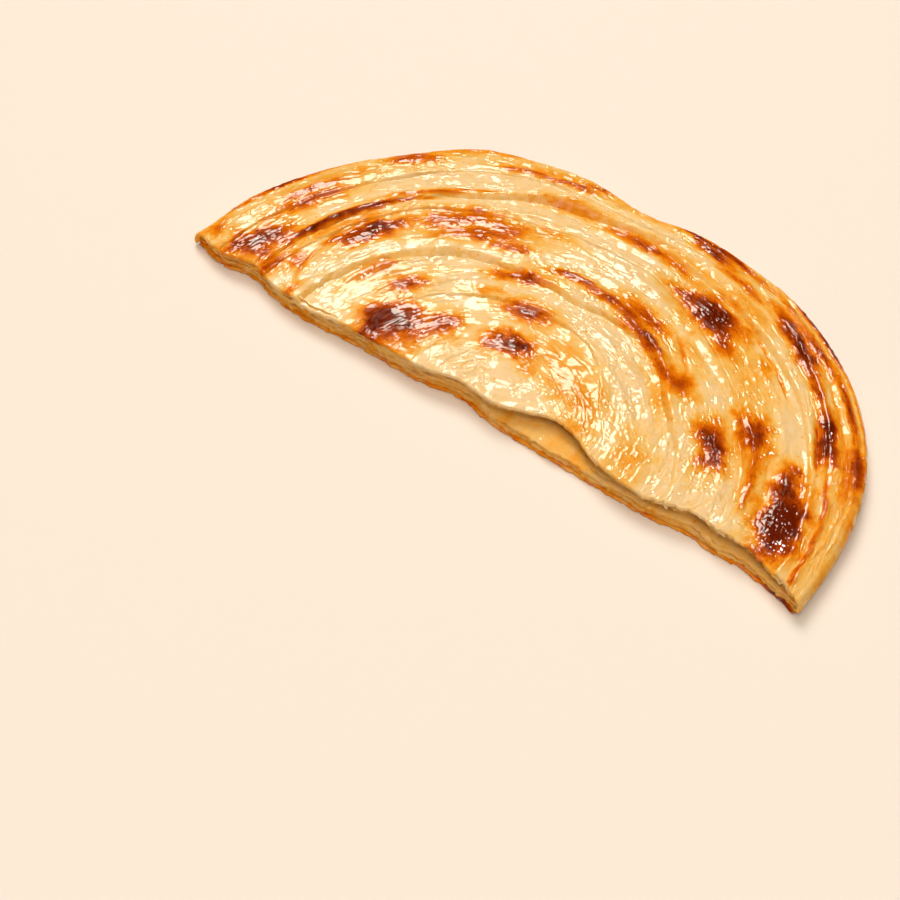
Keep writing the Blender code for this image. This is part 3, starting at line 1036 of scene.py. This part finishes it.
# Its nibbles and crumbs, the longer and the shorter waves of its edge, and how browned its side is.
NIBBLE_WAVE = 7
NIBBLE_IN = 0.3
BROKEN_WAVE = 1.6
BROKEN_IN = 0.12
NIBBLED_AT_RIM = 0.4
SIDE_BROWN = 0.36
SIDE_WAVE = 14
SIDE_UNEVEN = 0.12
BURNT_CORNER = (93, 0.55, 9)
NIBBLE_SEED = 41
BROKEN_SEED = 42
SIDE_SEED = 43

# The crust's broken edge from its foot to its top: how far in, and how high.
EDGE_PROFILE = ((0.0, 0.45), (0.15, 0.65), (0.7, 0.85))


def crust_mesh(material):
    """The crust: rings from the middle of its underside out to the edge, and up its broken side."""
    points, cut_share = outline(CRUST_CELL, CRUST_CUT_BACK, CRUST_RIM_BACK)
    run = np.cumsum(np.full(len(points), CRUST_CELL))
    nibble = ragged(run, NIBBLE_WAVE, NIBBLE_SEED) * NIBBLE_IN
    nibble = nibble + ragged(run, BROKEN_WAVE, BROKEN_SEED) * BROKEN_IN
    nibble = nibble * (NIBBLED_AT_RIM + (1 - NIBBLED_AT_RIM) * cut_share)
    core = np.array([0.0, CENTRE_Y])
    inwards = spokes(points)
    inwards = inwards / np.clip((inwards * inward(points)).sum(1), MOST_SLANTED, 1)[:, None]
    edge = points + inwards * nibble[:, None]
    rings, heights, browns = [], [], []
    for share in np.linspace(0.02, 1, CRUST_ROWS):
        ring = core + (edge - core) * (1 - (1 - share) ** ROWS_TO_EDGE)
        rings.append(ring)
        across, deep = ring[:, 0] / CRUST_SWELL_RUN[0], ring[:, 1] / CRUST_SWELL_RUN[1]
        lift = CRUST_DOME + CRUST_SWELL * np.sin(across) * np.sin(deep + 1)
        heights.append(lift * (1 - share**6) + EDGE_LIFT * share**12)
        browns.append(underside_browning(ring) + EDGE_BROWN * share**20)
    for out, level in EDGE_PROFILE:
        rings.append(edge + inwards * out)
        heights.append(np.full(len(points), level))
        uneven = SIDE_BROWN + ragged(run, SIDE_WAVE, SIDE_SEED) * SIDE_UNEVEN
        browns.append(uneven + bump_at(points[:, 0], BURNT_CORNER) * cut_share)
    values = {"browning": browns, "crease": [np.zeros(len(points))] * len(rings)}
    mesh = ring_mesh("underside_crust", rings, heights, values, material)
    write_vectors(mesh, "rope", np.concatenate(rings))
    return mesh


# How many spots there are, and between what values their places, sizes, stretch and browns fall.
GRIDDLE_SPOTS = 46
UNDERSIDE_TINT = 0.12
UNDERSIDE_SEED = 11
SPOT_PLACES = ((-95, 4), (95, 96))
SPOT_SIZES = (3, 8)
SPOT_STRETCHES = (0.6, 1.6)
SPOT_BROWNS = (0.45, 1.0)


def underside_browning(points):
    """Spots where the flat dough met the griddle, scattered over the underside."""
    chance = np.random.default_rng(UNDERSIDE_SEED)
    brown = np.full(len(points), UNDERSIDE_TINT)
    for _ in range(GRIDDLE_SPOTS):
        place = chance.uniform(*SPOT_PLACES)
        size = chance.uniform(*SPOT_SIZES)
        stretch = chance.uniform(*SPOT_STRETCHES)
        dark = chance.uniform(*SPOT_BROWNS)
        away = ((points[:, 0] - place[0]) / (size * stretch)) ** 2 + ((points[:, 1] - place[1]) / size) ** 2
        brown += dark * np.exp(-away)
    return brown


crust = crust_mesh(griddled)
set_piece(crust, "underside_crust")

# ---- Floor, light and camera -----------------------------------------------------------------
# A plain pale floor in a plain room. The bread is lit from behind on the left by a large soft
# light, and its oil mirrors a window and a small lamp that stand behind it.

FLOOR_REACH = 20
FLOOR_COLOUR = (0.835, 0.745, 0.668, 1)
FLOOR_ROUGHNESS = 0.9
floor_mesh = bpy.data.meshes.new("floor")
floor_corners = [(x * FLOOR_REACH, y * FLOOR_REACH, 0) for x, y in ((-1, -1), (1, -1), (1, 1), (-1, 1))]
floor_mesh.from_pydata(floor_corners, [], [(0, 1, 2, 3)])
floor_material = bpy.data.materials.new("floor")
floor_material.use_nodes = True
floor_surface = floor_material.node_tree.nodes["Principled BSDF"]
floor_surface.inputs["Base Color"].default_value = FLOOR_COLOUR
floor_surface.inputs["Roughness"].default_value = FLOOR_ROUGHNESS
floor_mesh.materials.append(floor_material)
floor = bpy.data.objects.new("floor", floor_mesh)
bpy.context.scene.collection.objects.link(floor)

CAMERA_TARGET = (1.9, -20.1, 7.9)
CAMERA_ELEVATION = 48.1
CAMERA_AZIMUTH = 28.4
CAMERA_DISTANCE = 544.0
CAMERA_ROLL = 9.2
CAMERA_LENS = 85


def direction(azimuth, elevation):
    """The way from the bread to something seen at that azimuth, 0 towards -Y and 90 towards +X."""
    level = cosine(elevation)
    return np.array([sine(azimuth) * level, -cosine(azimuth) * level, sine(elevation)])


def aim(thing, place, target, roll=0.0):
    """A camera or light at a place, looking at a target."""
    thing.location = Vector(place)
    turn = (Vector(target) - Vector(place)).to_track_quat("-Z", "Y").to_matrix().to_4x4()
    thing.rotation_euler = (turn @ Matrix.Rotation(math.radians(roll), 4, "Z")).to_euler()


target = (np.array(CAMERA_TARGET) + (POLE_X, POLE_Y, 0)) * MM
camera_data = bpy.data.cameras.new("camera")
camera_data.lens = CAMERA_LENS
camera_data.sensor_width = 36
camera_data.clip_start = 0.01
camera = bpy.data.objects.new("camera", camera_data)
bpy.context.scene.collection.objects.link(camera)
camera_place = target + direction(CAMERA_AZIMUTH, CAMERA_ELEVATION) * CAMERA_DISTANCE * MM
aim(camera, camera_place, target, CAMERA_ROLL)
bpy.context.scene.camera = camera


def new_light(name, kind, strength, colour, place):
    """A light at a place, shining on the bread."""
    data = bpy.data.lights.new(name, kind)
    data.energy = strength
    data.color = colour
    light = bpy.data.objects.new(name, data)
    bpy.context.scene.collection.objects.link(light)
    aim(light, place, (0, 0, 0))
    return light


# The large soft light, which the oil doesn't mirror.
SOFTBOX_AZIMUTH = 234
SOFTBOX_ELEVATION = 50
SOFTBOX_SPREAD = 30
SOFTBOX_STRENGTH = 1.98
SOFTBOX_COLOUR = (1.0, 0.97, 0.92)
softbox_place = direction(SOFTBOX_AZIMUTH, SOFTBOX_ELEVATION)
softbox = new_light("softbox", "SUN", SOFTBOX_STRENGTH, SOFTBOX_COLOUR, softbox_place)
softbox.data.angle = math.radians(SOFTBOX_SPREAD)
softbox.visible_glossy = False

# A window behind on the left, which the oil mirrors.
WINDOW_WIDTH = 300
WINDOW_HEIGHT = 280
WINDOW_DISTANCE = 600
WINDOW_SHIFT = -95
WINDOW_POWER = 4.1
WINDOW_COLOUR = (1.0, 0.94, 0.80)
window_place = direction(CAMERA_AZIMUTH + 180, CAMERA_ELEVATION) * WINDOW_DISTANCE * MM
window_place = window_place + direction(CAMERA_AZIMUTH + 90, 0) * WINDOW_SHIFT * MM
window = new_light("window", "AREA", WINDOW_POWER, WINDOW_COLOUR, window_place)
window.data.shape = "RECTANGLE"
window.data.size = WINDOW_WIDTH * MM
window.data.size_y = WINDOW_HEIGHT * MM
window.visible_diffuse = False

# A small bright lamp, high behind on the right, that sparkles on the blisters.
SPARKLE_AZIMUTH = 175
SPARKLE_ELEVATION = 58
SPARKLE_SPREAD = 7
SPARKLE_STRENGTH = 0.7
SPARKLE_COLOUR = (1.0, 0.95, 0.88)
sparkle_place = direction(SPARKLE_AZIMUTH, SPARKLE_ELEVATION)
sparkle = new_light("sparkle", "SUN", SPARKLE_STRENGTH, SPARKLE_COLOUR, sparkle_place)
sparkle.data.angle = math.radians(SPARKLE_SPREAD)
sparkle.visible_diffuse = False

# A pale ceiling, brightest above the camera's side, over dim walls that are pale again low down.
ROOM_COLOUR = (1.0, 0.92, 0.80, 1)
CEILING_ELEVATION = 72
CEILING_FALL = 6.0
CEILING_STRENGTH = 2.8
WALL_STRENGTH = 0.02
LOW_WALL_TOP = 0.2
LOW_WALL_FULL = 0.03
LOW_WALL_STRENGTH = 0.5
world = bpy.data.worlds.new("room")
world.use_nodes = True
background = world.node_tree.nodes["Background"]
seen_way = Wire.make(world.node_tree, "ShaderNodeTexCoord", output="Generated")
towards_ceiling = seen_way.node("ShaderNodeVectorMath", {"operation": "DOT_PRODUCT"}, {
    0: seen_way, 1: tuple(direction(CAMERA_AZIMUTH, CEILING_ELEVATION)),
}, "Value")
glow = towards_ceiling.math("MAXIMUM", towards_ceiling, 0.0) ** CEILING_FALL * CEILING_STRENGTH
rise = seen_way.node("ShaderNodeSeparateXYZ", None, {0: seen_way}, "Z")
low_wall = rise.part(LOW_WALL_TOP, LOW_WALL_FULL)
glow = glow + WALL_STRENGTH + low_wall * LOW_WALL_STRENGTH
background.inputs["Color"].default_value = ROOM_COLOUR
world.node_tree.links.new(glow.socket, background.inputs["Strength"])
bpy.context.scene.world = world
bpy.context.scene.view_settings.view_transform = "Standard"
